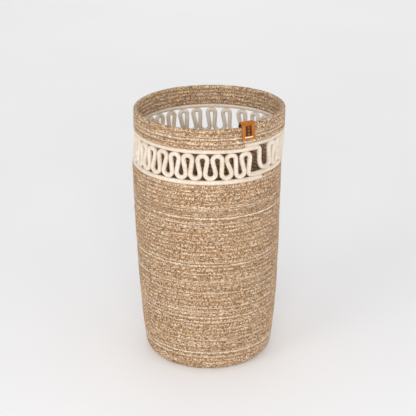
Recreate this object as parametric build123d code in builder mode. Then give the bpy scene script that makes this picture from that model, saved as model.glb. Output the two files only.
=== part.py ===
"""Tall round laundry hamper of coiled jute rope with an openwork band of cotton cord.

Frame: millimetres, +Z up, origin on the floor at the centre of the base.
The front faces -Y. The hamper has no lid and nothing on it moves.

The rope is coiled into a flat base and climbs into the wall. Each turn is modelled as a
closed course, and the courses of one stretch of rope are one solid, as they are once sewn.
"""
import os
from math import acos, atan2, cos, exp, hypot, pi, radians, sin, sqrt, tan

from build123d import *

# ---------------------------------------------------------------- driving dimensions
# Jute rope, coiled and sewn
ROPE_D = 8.0              # rope diameter
ROPE_PITCH = 7.91         # course spacing: sewing presses the courses slightly together
WALL_COURSES = 49         # courses standing on the outermost course of the base
RIM_COURSES = 5           # courses above the openwork band

# Outer profile of the wall: a narrow foot that flares quickly and then runs almost straight
FOOT_RADIUS = 121.0       # outer radius that the flare starts from
FLARE = 21.5              # how much the flare adds high up the wall
FLARE_HEIGHT = 140.0      # height over which most of the flare happens
CORNER_TUCK = 9.0         # how far the lowest course is drawn in at the rounded bottom corner
TUCK_HEIGHT = 16.0        # height over which that tuck fades

# Cotton cord: one ring, an upright serpentine, one more ring
CORD_D = 8.4              # cotton cord diameter
RING_HEIGHT = 8.2         # height that one sewn ring of cord takes up
WAVE_HEIGHT = 51.4        # clear height between the two rings
WAVE_LOOPS = 31           # loops of the serpentine round the basket
WAVE_LEG_GAP = 0.2        # clearance between neighbouring legs where they come closest
WAVE_SEAT = 0.15          # how far each loop is pressed flat against its ring
OVERRUN = 2.0             # extra leg length that the radial cuts take off again

# Leather label folded over the rim
LABEL_ANGLE = -60.0       # direction of the label about +Z, from +X
LABEL_WIDTH = 26.0        # along the rim
LABEL_STANDS = 5.5        # height of its fold above the rim
LABEL_FRONT_LENGTH = 33.5   # outside leaf, from the top of the fold down
LABEL_BACK_LENGTH = 29.0    # inside leaf, from the top of the fold down
LEATHER = 1.6             # leather thickness
LINING = 0.5              # thickness of the dark lining on its inner side
LABEL_CLEAR = 0.25        # gap between the lining and the rope

# Bar stitches near the lower edge of each leaf
STITCH_D = 1.1            # thread bundle diameter
STITCH_LENGTH = 16.0      # length of a bar
STITCH_UP = 5.0           # height of the bar above the leaf's lower edge
STITCH_PROUD = 0.4        # how far the bar's centre stands off the leather
STITCH_BEND = 0.9         # bend where the thread dives into the leather

# Plain decorative panel let into the outside leaf
MARK_WIDTH = 13.6
MARK_HEIGHT = 20.4
MARK_DEPTH = 0.3
MARK_CORNER = 1.0         # corner radius of the panel
MARK_LOZENGES = 3         # pierced lozenges, one above the other
MARK_LOZENGE = 3.4        # side of one lozenge
MARK_DROP = 17.0          # centre of the panel below the top of the fold

ROPE_R = ROPE_D / 2
CORD_R = CORD_D / 2
CLIMB_HALVINGS = 40       # halvings of the search for the next course


# ---------------------------------------------------------------- shared geometry
def outer_radius(z):
    """Outer radius of the basket at height z."""
    return FOOT_RADIUS + FLARE * (1 - exp(-z / FLARE_HEIGHT))


def course_radius(z):
    """Radius of a rope course's centre at height z, with the bottom corner drawn in."""
    fade = max(0.0, 1 - (z - ROPE_R) / TUCK_HEIGHT)
    return outer_radius(z) - ROPE_R - CORNER_TUCK * fade**2


def climb(radius, z):
    """Centre of the course lying on the one at (radius, z), one pitch up the wall."""
    low = 0.0
    high = ROPE_PITCH
    for _ in range(CLIMB_HALVINGS):
        rise = (low + high) / 2
        if hypot(course_radius(z + rise) - radius, rise) < ROPE_PITCH:
            low = rise
        else:
            high = rise
    return course_radius(z + rise), z + rise


def seam(low, high):
    """Outer and inner points where two neighbouring rope sections meet."""
    dr = high[0] - low[0]
    dz = high[1] - low[1]
    gap = hypot(dr, dz)
    reach = sqrt(ROPE_R**2 - (gap / 2) ** 2)
    mid_r = (low[0] + high[0]) / 2
    mid_z = (low[1] + high[1]) / 2
    outer = (mid_r + reach * dz / gap, mid_z - reach * dr / gap)
    inner = (mid_r - reach * dz / gap, mid_z + reach * dr / gap)
    return outer, inner


def level_cut(centre, section_radius, z):
    """Outer and inner points where a level plane at z cuts a round section."""
    reach = sqrt(section_radius**2 - (z - centre[1]) ** 2)
    return (centre[0] + reach, z), (centre[0] - reach, z)


def round_side(centre, start, end):
    """Draws the anticlockwise arc about centre from start to end."""
    radius = hypot(start[0] - centre[0], start[1] - centre[1])
    first = atan2(start[1] - centre[1], start[0] - centre[0])
    last = atan2(end[1] - centre[1], end[0] - centre[0])
    middle = first + ((last - first) % (2 * pi)) / 2
    through = (centre[0] + radius * cos(middle), centre[1] + radius * sin(middle))
    ThreePointArc(start, through, end)


def draw_courses(centres, lowest, highest):
    """Draws the closed outline of a stack of rope sections between two end cuts."""
    cuts = [lowest]
    for low, high in zip(centres, centres[1:]):
        cuts.append(seam(low, high))
    cuts.append(highest)
    for centre, below, above in zip(centres, cuts, cuts[1:]):
        round_side(centre, below[0], above[0])
        round_side(centre, above[1], below[1])
    Line(lowest[1], lowest[0])
    if highest[0] != highest[1]:
        Line(highest[0], highest[1])


def draw_ring(centre, z_low, z_high):
    """Draws the closed outline of one cord section, pressed flat below and above."""
    low_outer, low_inner = level_cut(centre, CORD_R, z_low)
    high_outer, high_inner = level_cut(centre, CORD_R, z_high)
    round_side(centre, low_outer, high_outer)
    Line(high_outer, high_inner)
    round_side(centre, high_inner, low_inner)
    Line(low_inner, low_outer)


# Courses of the wall, from the outermost course of the base upwards
foot = (course_radius(ROPE_R), ROPE_R)
courses = [foot]
for _ in range(WALL_COURSES):
    courses.append(climb(*courses[-1]))
foot_seam = seam(courses[0], courses[1])
wall_top = courses[-1][1] + ROPE_PITCH / 2

# Levels of the openwork band, and the courses of the rim above it
low_ring_top = wall_top + RING_HEIGHT
high_ring_bottom = low_ring_top + WAVE_HEIGHT
band_top = high_ring_bottom + RING_HEIGHT
rim_courses = []
for course in range(RIM_COURSES):
    course_z = band_top + (course + 0.5) * ROPE_PITCH
    rim_courses.append((course_radius(course_z), course_z))
rim_crown = (rim_courses[-1][0], rim_courses[-1][1] + ROPE_R)
rim_top = rim_crown[1]

# ---------------------------------------------------------------- base, a flat spiral of rope
# The underside is pressed flat; the upper side keeps the round backs of the rope.
groove_z = ROPE_R + sqrt(ROPE_R**2 - (ROPE_PITCH / 2) ** 2)
base_turns = int(foot[0] / ROPE_PITCH) + 1

with BuildPart() as base_coil:
    with BuildSketch(Plane.XZ):
        with BuildLine():
            Line((0, 0), (foot[0], 0))
            round_side(foot, (foot[0], 0), foot_seam[0])
            Line(foot_seam[0], foot_seam[1])
            edge_of_turn = foot_seam[1]
            for turn in range(base_turns):
                turn_radius = foot[0] - turn * ROPE_PITCH
                groove = (turn_radius - ROPE_PITCH / 2, groove_z)
                round_side((turn_radius, ROPE_R), edge_of_turn, groove)
                edge_of_turn = groove
            Line(edge_of_turn, (0, groove_z))
            Line((0, groove_z), (0, 0))
        make_face()
    revolve(axis=Axis.Z)
base_coil.part.label = "base_coil"

# ---------------------------------------------------------------- wall, jute rope
# Three stretches of the same rope, one on the other, each from one seam to another.
WALL_STRETCHES = {
    "wall_coil_lower": (1, 16),
    "wall_coil_middle": (17, 32),
    "wall_coil_upper": (33, WALL_COURSES),
}
wall_parts = {}
for stretch_name, (first, last) in WALL_STRETCHES.items():
    start_cut = seam(courses[first - 1], courses[first])
    if last < WALL_COURSES:
        end_cut = seam(courses[last], courses[last + 1])
    else:
        end_cut = level_cut(courses[last], ROPE_R, wall_top)
    with BuildPart() as wall_stretch:
        with BuildSketch(Plane.XZ):
            with BuildLine():
                draw_courses(courses[first : last + 1], start_cut, end_cut)
            make_face()
        revolve(axis=Axis.Z)
    wall_stretch.part.label = stretch_name
    wall_parts[stretch_name] = wall_stretch.part

# ---------------------------------------------------------------- rings of cotton cord
with BuildPart() as lower_cotton_ring:
    low_ring_z = wall_top + RING_HEIGHT / 2
    with BuildSketch(Plane.XZ):
        with BuildLine():
            low_ring_radius = outer_radius(low_ring_z) - CORD_R
            draw_ring((low_ring_radius, low_ring_z), wall_top, low_ring_top)
        make_face()
    revolve(axis=Axis.Z)
lower_cotton_ring.part.label = "lower_cotton_ring"

with BuildPart() as upper_cotton_ring:
    high_ring_z = band_top - RING_HEIGHT / 2
    with BuildSketch(Plane.XZ):
        with BuildLine():
            high_ring_radius = outer_radius(high_ring_z) - CORD_R
            draw_ring((high_ring_radius, high_ring_z), high_ring_bottom, band_top)
        make_face()
    revolve(axis=Axis.Z)
upper_cotton_ring.part.label = "upper_cotton_ring"

# ---------------------------------------------------------------- serpentine of cotton cord
# One leg runs from the top of a loop, round and back under itself, straight across, and
# round again to the bottom of the next loop. It is drawn flat, facing +X, and cut on the
# radial planes through the loop ends; its mirror image completes one loop.
wave_z = (low_ring_top + high_ring_bottom) / 2
wave_radius = outer_radius(wave_z) - CORD_R
leg_turn = 180 / WAVE_LOOPS
end_x = wave_radius * tan(radians(leg_turn / 2))
end_y = WAVE_HEIGHT / 2 - CORD_R + WAVE_SEAT
loop_radius = 2 * end_x - CORD_R - WAVE_LEG_GAP / 2
loop_centre_y = end_y - loop_radius
centre_distance = hypot(end_x, loop_centre_y)
leave_angle = atan2(-loop_centre_y, end_x) + acos(loop_radius / centre_distance)
leave_x = -end_x + loop_radius * cos(leave_angle)
leave_y = loop_centre_y + loop_radius * sin(leave_angle)
crown_angle = (pi / 2 + leave_angle) / 2
crown_x = -end_x + loop_radius * cos(crown_angle)
crown_y = loop_centre_y + loop_radius * sin(crown_angle)

leg_plane = Plane(origin=(wave_radius, 0, wave_z), x_dir=(0, 1, 0), z_dir=(1, 0, 0))
half_leg = radians(leg_turn / 2)
first_cut = Plane(origin=(0, 0, 0), z_dir=(sin(half_leg), cos(half_leg), 0))
last_cut = Plane(origin=(0, 0, 0), z_dir=(-sin(half_leg), cos(half_leg), 0))

with BuildPart() as wave_loop:
    with BuildLine(leg_plane) as leg_path:
        Line((-end_x - OVERRUN, end_y), (-end_x, end_y))
        ThreePointArc((-end_x, end_y), (crown_x, crown_y), (leave_x, leave_y))
        Line((leave_x, leave_y), (-leave_x, -leave_y))
        ThreePointArc((-leave_x, -leave_y), (-crown_x, -crown_y), (end_x, -end_y))
        Line((end_x, -end_y), (end_x + OVERRUN, -end_y))
    with BuildSketch(Plane(origin=leg_path.wire() @ 0, z_dir=leg_path.wire() % 0)):
        Circle(CORD_R)
    sweep()
    split(bisect_by=first_cut, keep=Keep.TOP)
    split(bisect_by=last_cut, keep=Keep.BOTTOM)
    split(bisect_by=Plane.XY.offset(high_ring_bottom), keep=Keep.BOTTOM)
    split(bisect_by=Plane.XY.offset(low_ring_top), keep=Keep.TOP)
    mirror(about=last_cut)

with BuildPart() as cotton_wave:
    with PolarLocations(0, WAVE_LOOPS):
        add(wave_loop.part)
cotton_wave.part.label = "cotton_wave"

# ---------------------------------------------------------------- rim, jute rope
with BuildPart() as rim_coil:
    with BuildSketch(Plane.XZ):
        with BuildLine():
            rim_foot = level_cut(rim_courses[0], ROPE_R, band_top)
            draw_courses(rim_courses, rim_foot, (rim_crown, rim_crown))
        make_face()
    revolve(axis=Axis.Z)
rim_coil.part.label = "rim_coil"

# ---------------------------------------------------------------- leather label over the rim
# The leaves are flat: the outside one touches the round wall along its middle, and the
# inside one along its two side edges.
label_way = (cos(radians(LABEL_ANGLE)), sin(radians(LABEL_ANGLE)), 0)
label_along = (-label_way[1], label_way[0], 0)
front_gap = outer_radius(rim_top) + LABEL_CLEAR
back_gap = sqrt((outer_radius(band_top) - ROPE_D) ** 2 - (LABEL_WIDTH / 2) ** 2) - LABEL_CLEAR
fold_r = (front_gap + back_gap) / 2
lining_bend = (front_gap - back_gap) / 2
leather_bend = lining_bend + LINING
outside_bend = leather_bend + LEATHER
label_top = rim_top + LABEL_STANDS
fold_z = label_top - outside_bend
front_edge_z = label_top - LABEL_FRONT_LENGTH
back_edge_z = label_top - LABEL_BACK_LENGTH
label_section = Plane(origin=(0, 0, 0), x_dir=label_way, z_dir=(-label_along[0], -label_along[1], 0))


def draw_folded_sheet(inside, outside):
    """Draws the section of a sheet folded over the rim, between two bend radii."""
    Line((fold_r + outside, front_edge_z), (fold_r + outside, fold_z))
    ThreePointArc(
        (fold_r + outside, fold_z), (fold_r, fold_z + outside), (fold_r - outside, fold_z)
    )
    Line((fold_r - outside, fold_z), (fold_r - outside, back_edge_z))
    Line((fold_r - outside, back_edge_z), (fold_r - inside, back_edge_z))
    Line((fold_r - inside, back_edge_z), (fold_r - inside, fold_z))
    ThreePointArc(
        (fold_r - inside, fold_z), (fold_r, fold_z + inside), (fold_r + inside, fold_z)
    )
    Line((fold_r + inside, fold_z), (fold_r + inside, front_edge_z))
    Line((fold_r + inside, front_edge_z), (fold_r + outside, front_edge_z))


def draw_bar_stitch(gap_r, face_r):
    """Draws a bar of thread that comes out of a leaf, runs along its face and goes back."""
    half = STITCH_LENGTH / 2
    FilletPolyline(
        (gap_r, -half), (face_r, -half), (face_r, half), (gap_r, half), radius=STITCH_BEND
    )


front_face = fold_r + outside_bend
back_face = fold_r - outside_bend
front_stitch_plane = Plane(
    origin=(0, 0, front_edge_z + STITCH_UP), x_dir=label_way, z_dir=(0, 0, 1)
)
back_stitch_plane = Plane(
    origin=(0, 0, back_edge_z + STITCH_UP), x_dir=label_way, z_dir=(0, 0, 1)
)

with BuildPart() as front_stitch:
    with BuildLine(front_stitch_plane) as front_thread:
        draw_bar_stitch(front_gap, front_face + STITCH_PROUD)
    with BuildSketch(Plane(origin=front_thread.wire() @ 0, z_dir=front_thread.wire() % 0)):
        Circle(STITCH_D / 2)
    sweep()

with BuildPart() as back_stitch:
    with BuildLine(back_stitch_plane) as back_thread:
        draw_bar_stitch(back_gap, back_face - STITCH_PROUD)
    with BuildSketch(Plane(origin=back_thread.wire() @ 0, z_dir=back_thread.wire() % 0)):
        Circle(STITCH_D / 2)
    sweep()

with BuildPart() as label_stitch:
    add(front_stitch.part)
    add(back_stitch.part)
label_stitch.part.label = "label_stitch"

mark_plane = Plane(
    origin=(
        front_face * label_way[0],
        front_face * label_way[1],
        label_top - MARK_DROP,
    ),
    x_dir=label_along,
    z_dir=label_way,
)

with BuildPart() as label_mark:
    with BuildSketch(mark_plane):
        RectangleRounded(MARK_WIDTH, MARK_HEIGHT, MARK_CORNER)
        with GridLocations(0, MARK_HEIGHT / MARK_LOZENGES, 1, MARK_LOZENGES):
            Rectangle(MARK_LOZENGE, MARK_LOZENGE, rotation=45, mode=Mode.SUBTRACT)
    extrude(amount=-MARK_DEPTH)
label_mark.part.label = "label_mark"

with BuildPart() as leather_label:
    with BuildSketch(label_section):
        with BuildLine():
            draw_folded_sheet(leather_bend, outside_bend)
        make_face()
    extrude(amount=LABEL_WIDTH / 2, both=True)
    add(label_stitch.part, mode=Mode.SUBTRACT)
    add(label_mark.part, mode=Mode.SUBTRACT)
leather_label.part.label = "leather_label"

with BuildPart() as label_lining:
    with BuildSketch(label_section):
        with BuildLine():
            draw_folded_sheet(lining_bend, leather_bend)
        make_face()
    extrude(amount=LABEL_WIDTH / 2, both=True)
    add(label_stitch.part, mode=Mode.SUBTRACT)
label_lining.part.label = "label_lining"

# ---------------------------------------------------------------- one STEP file per piece
os.makedirs("parts", exist_ok=True)
export_step(base_coil.part, "parts/base_coil.step")
for stretch_name, stretch_part in wall_parts.items():
    export_step(stretch_part, f"parts/{stretch_name}.step")
export_step(lower_cotton_ring.part, "parts/lower_cotton_ring.step")
export_step(cotton_wave.part, "parts/cotton_wave.step")
export_step(upper_cotton_ring.part, "parts/upper_cotton_ring.step")
export_step(rim_coil.part, "parts/rim_coil.step")
export_step(leather_label.part, "parts/leather_label.step")
export_step(label_lining.part, "parts/label_lining.step")
export_step(label_stitch.part, "parts/label_stitch.step")
export_step(label_mark.part, "parts/label_mark.step")

print(f"wall top {wall_top:.2f}, openwork {low_ring_top:.2f} to {high_ring_bottom:.2f}")
print(f"band top {band_top:.2f}, rim top {rim_top:.2f}, label top {label_top:.2f}")
print(f"leg bend radius {loop_radius:.2f}, leg leaves at {leave_angle * 180 / pi:.1f} degrees")
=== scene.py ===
"""Looks of the coiled rope laundry hamper: jute rope, openwork cotton cord, leather label.

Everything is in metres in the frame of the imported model: +Z up, front towards -Y, the
origin on the floor at the centre of the base. A bearing, or "round", is in degrees from the
front, positive to the right. The rope climbs clockwise seen from above, so its bearing
falls as the coil goes up, and "turn" counts its turns from the foot of the wall.
"""
import bpy
import numpy as np
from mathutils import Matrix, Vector


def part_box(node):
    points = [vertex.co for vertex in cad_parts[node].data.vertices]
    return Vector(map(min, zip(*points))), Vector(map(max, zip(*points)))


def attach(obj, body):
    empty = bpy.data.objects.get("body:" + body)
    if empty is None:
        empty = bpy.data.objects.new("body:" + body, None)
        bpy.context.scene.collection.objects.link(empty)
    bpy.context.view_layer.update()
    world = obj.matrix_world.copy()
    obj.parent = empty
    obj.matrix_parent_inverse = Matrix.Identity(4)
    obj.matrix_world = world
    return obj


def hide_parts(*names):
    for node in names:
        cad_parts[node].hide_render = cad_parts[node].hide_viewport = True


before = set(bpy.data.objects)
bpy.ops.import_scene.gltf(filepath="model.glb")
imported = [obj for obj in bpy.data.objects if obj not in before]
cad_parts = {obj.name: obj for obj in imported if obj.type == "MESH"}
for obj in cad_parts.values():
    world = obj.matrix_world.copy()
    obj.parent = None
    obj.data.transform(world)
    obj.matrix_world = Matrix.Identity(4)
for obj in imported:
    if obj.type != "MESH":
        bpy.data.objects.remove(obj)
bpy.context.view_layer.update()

MM = 0.001
TAU = 2 * np.pi

# ---- coil and profile
ROPE_R = 4.0 * MM  # jute rope radius
PLUMP_R = 4.2 * MM  # radius it swells to between its stitches
CORD_R = 4.2 * MM  # cotton cord radius
FOOT_RADIUS = 121.0 * MM  # outer radius that the flare starts from
FLARE = 21.5 * MM  # how much the flare adds high up
FLARE_HEIGHT = 140.0 * MM  # height over which most of the flare happens
CORNER_TUCK = 9.0 * MM  # how far the foot is drawn in at the rounded bottom corner
TUCK_HEIGHT = 16.0 * MM  # height over which that tuck fades
BASE_PITCH = 7.82 * MM  # spacing of the turns of the flat base
BASE_START = -13.31  # turn at which the rope starts, in the middle of the base
COIL_END_ROUND = 45.8  # angle where the jute of the wall ends and cotton starts
COIL_END_TURN = 50.0  # turn at which that happens
RING_TURN = 51.0  # one turn further on
RIM_START_TURN = 51.049  # turn at which the jute of the rim starts
RIM_END_TURN = 56.038  # turn at which it ends, under the label
# Heights of the rope's centre at a few turns, as if there were no openwork below the rim.
COIL_TURNS = (0.0, 49.0, 50.0, 51.0, 51.05, 56.04)
COIL_HEIGHTS = tuple(h * MM for h in (4.0, 382.6, 390.35, 398.6, 398.95, 436.2))
WAVE_CLEAR = 51.4 * MM  # clear height between the two cotton rings
RING_PITCH = 8.2 * MM  # height that one cotton ring takes up
BAND_RISE = WAVE_CLEAR + RING_PITCH
BAND_MIDDLE = 425.0 * MM  # height of the middle of the openwork band
# How far the wall stands off to the right at a few heights.
LEAN_HEIGHTS = tuple(h * MM for h in (0.0, 80.0, 190.0, 390.0, 430.0, 500.0))
LEAN_SHIFTS = tuple(s * MM for s in (0.9, 0.9, -0.7, -2.0, 1.4, 2.4))
EVEN_FOOT = 60.0 * MM  # height over which the unevenness of the wall sets in
SWAY = 0.10 * MM  # how far a course wanders up and down
# Slow bumps round the wall: size in mm, number round the basket, slant in radians for each
# metre of height, and where they start, in radians.
BUMPS = ((0.45, 2, 9, 0), (0.35, 3, -23, 1), (0.18, 7, 61, 2), (0.12, 13, -143, 0))


def outer_radius(z):
    """Outer radius of the basket at height z."""
    return FOOT_RADIUS + FLARE * (1 - np.exp(-z / FLARE_HEIGHT))


def course_radius(z):
    """Radius of the rope's centre at height z, with the bottom corner drawn in."""
    fade = np.clip(1 - (z - ROPE_R) / TUCK_HEIGHT, 0, 1)
    return outer_radius(z) - ROPE_R - CORNER_TUCK * fade**2


BASE_RADIUS = course_radius(ROPE_R)
WALL_HEIGHTS = np.linspace(COIL_HEIGHTS[0], COIL_HEIGHTS[1], 4000)
WALL_STEPS = np.hypot(np.diff(WALL_HEIGHTS), np.diff(course_radius(WALL_HEIGHTS)))
WALL_LENGTHS = np.concatenate([[0], np.cumsum(WALL_STEPS)])


def coil_height(turn):
    """Centre height of the coil below the openwork band, evenly spaced up the profile."""
    up_wall = np.interp(turn, COIL_TURNS[:2], (0, WALL_LENGTHS[-1]))
    wall = np.interp(up_wall, WALL_LENGTHS, WALL_HEIGHTS)
    above = np.interp(turn, COIL_TURNS, COIL_HEIGHTS)
    return np.where(np.asarray(turn) < COIL_TURNS[1], wall, above)


def coil_radius(turn, z):
    """Centre radius: a flat spiral up to the foot, then the profile of the wall."""
    return np.where(turn < 0, BASE_RADIUS + BASE_PITCH * turn, course_radius(z))


def turn_to_round(turn):
    """Angle from the front, in degrees, that the coil has reached at a turn."""
    return COIL_END_ROUND + (COIL_END_TURN - turn) * 360


def on_wall(bearing, radius, z):
    """Points at an angle from the front, a radius and a height."""
    phi = np.radians(np.asarray(bearing) - 90)
    return np.stack([radius * np.cos(phi), radius * np.sin(phi), z + 0 * phi], axis=-1)


def unevenness(bearing, z):
    """Small hand-made departures of the wall from a true round, in metres."""
    phi = np.radians(bearing)
    bumps = sum(size * np.sin(count * phi + slant * z + start) for size, count, slant, start in BUMPS)
    lean = np.interp(z, LEAN_HEIGHTS, LEAN_SHIFTS) * np.sin(phi)
    return MM * np.clip(z / EVEN_FOOT, 0, 1) * bumps + lean


def coil_points(turn, rise=0.0):
    """Centre line of the coil at those turns, lifted by rise for the part above the band."""
    turn = np.asarray(turn, float)
    bearing = turn_to_round(turn)
    z = coil_height(turn) + rise
    radius = coil_radius(turn, z) + unevenness(bearing, z)
    sway = SWAY * np.sin(np.radians(bearing) * 5 + turn * 2.4)
    return on_wall(bearing, radius, z + np.where(turn > 1, sway, 0))


# ---- meshes from numbers
def distances(points):
    """How far along a line of points each one is."""
    gaps = np.linalg.norm(np.diff(points, axis=0), axis=1)
    return np.concatenate([[0], np.cumsum(gaps)])


def even_points(points, step):
    """Points one step apart along a line of points, and how far along each one is."""
    along = distances(points)
    count = max(2, int(round(along[-1] / step)))
    where = np.linspace(0, along[-1], count + 1)
    even = np.stack([np.interp(where, along, points[:, k]) for k in range(3)], axis=1)
    return even, where


def unit(vectors):
    """Each vector at length one."""
    return vectors / np.maximum(np.linalg.norm(vectors, axis=-1, keepdims=True), 1e-12)


def outward_frame(points):
    """Two directions across a line on the basket: away from its axis, and square to that."""
    along = unit(np.gradient(points, axis=0))
    away = points * (1, 1, 0)
    away = unit(away - along * np.sum(away * along, axis=1, keepdims=True))
    return away, np.cross(away, along)


def add_object(name, data):
    """A new object in the scene."""
    added = bpy.data.objects.new(name, data)
    bpy.context.scene.collection.objects.link(added)
    return added


def mesh_piece(name, vertices, quads, layers, triangles=None):
    """A smooth mesh piece from arrays of vertices, four-sided faces and their UV layers."""
    mesh = bpy.data.meshes.new(name)
    loops = quads.reshape(-1)
    sizes = np.full(len(quads), 4)
    if triangles is not None:
        loops = np.concatenate([loops, triangles.reshape(-1)])
        sizes = np.concatenate([sizes, np.full(len(triangles), 3)])
    mesh.vertices.add(len(vertices))
    mesh.vertices.foreach_set("co", vertices.astype(np.float32).ravel())
    mesh.loops.add(len(loops))
    mesh.loops.foreach_set("vertex_index", loops.astype(np.int32))
    mesh.polygons.add(len(sizes))
    mesh.polygons.foreach_set("loop_start", (np.cumsum(sizes) - sizes).astype(np.int32))
    mesh.polygons.foreach_set("use_smooth", np.ones(len(sizes), bool))
    mesh.update(calc_edges=True)
    for layer, coordinates in layers.items():
        uv = mesh.uv_layers.new(name=layer)
        flat = np.zeros((len(loops), 2), np.float32)
        flat[: quads.size] = coordinates.reshape(-1, 2)
        uv.uv.foreach_set("vector", flat.ravel())
    mesh.validate()
    return add_object(name, mesh)


def tube_quads(rings, sides):
    """Vertex numbers of the four-sided faces of a tube."""
    i = np.arange(rings - 1)[:, None]
    j = np.arange(sides)[None]
    after = (j + 1) % sides
    corners = (i * sides + j, i * sides + after, (i + 1) * sides + after, (i + 1) * sides + j)
    return np.stack(corners, axis=-1).reshape(-1, 4)


def tube_layers(along, rings, sides, girth):
    """UVs of a tube: "rope" is metres along and the share of the way round it, and
    "OFBake" lays the tube out in rows that fill a square.
    """
    i = np.arange(rings - 1)[:, None]
    j = np.arange(sides)[None]
    share = np.stack([j, j + 1, j + 1, j], axis=-1) / sides + 0.0 * i[..., None]
    metres = np.stack([along[i], along[i], along[i + 1], along[i + 1]], axis=-1)
    metres = metres + 0.0 * j[..., None]
    square = max(1, int(np.ceil(np.sqrt((along[-1] - along[0]) / girth))))
    per_row = int(np.ceil((rings - 1) / square))
    rows = int(np.ceil((rings - 1) / per_row))
    row = i // per_row
    step = i - row * per_row
    bake_u = np.stack([step, step, step + 1, step + 1], axis=-1) / per_row + 0.0 * j[..., None]
    bake_v = (row[..., None] + 0.02 + 0.96 * share) / rows
    return {
        "OFBake": np.stack([0.002 + 0.996 * bake_u, bake_v], axis=-1),
        "rope": np.stack([metres, share], axis=-1),
    }


def end_cap(hub, first, sides, flip):
    """Triangles from a hub to the ring of vertices that starts at first."""
    fan = []
    for k in range(sides):
        pair = (first + k, first + (k + 1) % sides)
        fan.append((hub, *(pair[::-1] if flip else pair)))
    return fan


def tube_piece(name, points, radii, along, wrap=0.0, caps=(False, False)):
    """A tube round a line: radii has one row for each point and one column for each side."""
    away, side = outward_frame(points)
    rings, sides = radii.shape
    angle = wrap + TAU * np.arange(sides) / sides
    ring = radii[:, :, None] * (
        np.cos(angle)[None, :, None] * away[:, None] + np.sin(angle)[None, :, None] * side[:, None]
    )
    vertices = (points[:, None] + ring).reshape(-1, 3)
    ends = []
    if caps[0]:
        ends += end_cap(len(vertices), 0, sides, True)
        vertices = np.vstack([vertices, points[0]])
    if caps[1]:
        ends += end_cap(len(vertices), (rings - 1) * sides, sides, False)
        vertices = np.vstack([vertices, points[-1]])
    layers = tube_layers(along, rings, sides, TAU * radii.mean())
    triangles = np.array(ends) if ends else None
    return mesh_piece(name, vertices, tube_quads(rings, sides), layers, triangles)


# ---- braided rope
class Braid:
    """A round braid: so many strands each way, and the length of one cell of its pattern."""

    LIFTS = (251, 241)  # size of the table of random lifts
    LIFT_SPREAD = 0.16  # how unevenly strands stand up, as a share of the relief
    END_DROP = 0.45  # how much lower a strand is at both ends of its cell

    def __init__(self, strands, cell, relief, samples, seed):
        self.strands = strands
        self.cell = cell
        self.relief = relief
        self.samples = samples
        self.phase = 0.5 / samples
        self.step = cell / samples
        self.sides = strands * samples
        self.lift = np.random.default_rng(seed).normal(0, self.LIFT_SPREAD, self.LIFTS)

    def radii(self, radius, rings):
        """Radius at every vertex: each strand bulges where it lies on top."""
        i = np.arange(rings)[:, None]
        j = np.arange(self.sides)[None]
        u = (j + i) / self.samples + self.phase
        v = (j - i) / self.samples + self.phase
        first = np.floor(u)
        second = np.floor(v)
        odd = (first + second) % 2 > 0.5
        across = np.where(odd, u - first, v - second)
        along = np.where(odd, v - second, u - first)
        bulge = (1 - (2 * across - 1) ** 2) * (1 - self.END_DROP * (2 * along - 1) ** 2)
        lift = self.lift[first.astype(int) % self.LIFTS[0], second.astype(int) % self.LIFTS[1]]
        slow = 0.012 * np.sin(i * 0.031) + 0.010 * np.sin(i * 0.0127 + 2)
        return radius * (1 + slow) + self.relief * (bulge - 0.55 + lift * bulge)


JUTE = Braid(7, 4.5 * MM, 0.58 * MM, 3, 3)
COTTON = Braid(6, 4.0 * MM, 0.42 * MM, 4, 7)


def flatten_on(piece, floor):
    """Raises whatever lies below a height up to it."""
    co = np.empty(len(piece.data.vertices) * 3, np.float32)
    piece.data.vertices.foreach_get("co", co)
    co = co.reshape(-1, 3)
    co[:, 2] = np.maximum(co[:, 2], floor)
    piece.data.vertices.foreach_set("co", co.ravel())
    piece.data.update()


def braided_piece(name, points, radius, braid, start, wrap=0.0, caps=(False, False)):
    """A braided rope along a line, whose pattern starts so many metres along the whole rope."""
    even, along = even_points(points, braid.step)
    radii = braid.radii(radius, len(even))
    taper = np.ones(len(even))
    if caps[0]:
        taper[:2] = (0.80, 0.95)
    if caps[1]:
        taper[-2:] = (0.95, 0.80)
    return tube_piece(name, even, radii * taper[:, None], start + along, wrap, caps)


def fine_turns(first, last):
    """Turns from first to last, close enough together for a smooth line."""
    return np.linspace(first, last, int(abs(last - first) * 720) + 2)


# ---- openwork wave
# Angles of the top and bottom loops at the front and the back, going left.
FRONT_TOPS = (29.7, 17.9, 7.1, -4.2, -15.4, -25.8, -36.7)
FRONT_BOTTOMS = (36.0, 25.4, 14.2, 1.8, -9.7, -20.7, -31.7, -42.9)
BACK_TOPS = (-136.1, -147.9, -159.3, -170.6, -182.9, -195.5, -209.2, -222.1)
LEFT_SIDE_TOPS = 8  # top loops between the front and the back ones, on the left
RIGHT_SIDE_TOPS = 6  # top loops between the back ones and the last, on the right
LAST_TOP = -303.3  # angle of the last top loop
LAST_BOTTOM = -309.0  # angle of the last bottom loop
LAST_UPRIGHT = -317.6  # angle of the last upright, which turns into the upper ring
UPRIGHT_BEND = 6.5 * MM  # radius of that turn
UPRIGHT_PATH = ((11.0, 0.3), (4.5, 5.0), (0.8, 13.0), (0.0, 22.0))  # mm right and up, its foot
TOP_BEND = 9.0 * MM  # largest bend radius of a top loop at the front
BACK_TOP_BEND = 7.5 * MM  # and at the back, where the loops stand further apart
WAVE_SEAT = 0.15 * MM  # how far each loop is pressed into its ring
LOOP_PRESS = 0.15 * MM  # how far it is pressed into the loops beside it
ARC_STEP = 0.7 * MM  # length of one step along the wave
LOW_LINE = CORD_R - WAVE_SEAT  # height of the cord in the bottom loops
HIGH_LINE = WAVE_CLEAR - CORD_R + WAVE_SEAT  # and in the top loops


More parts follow.
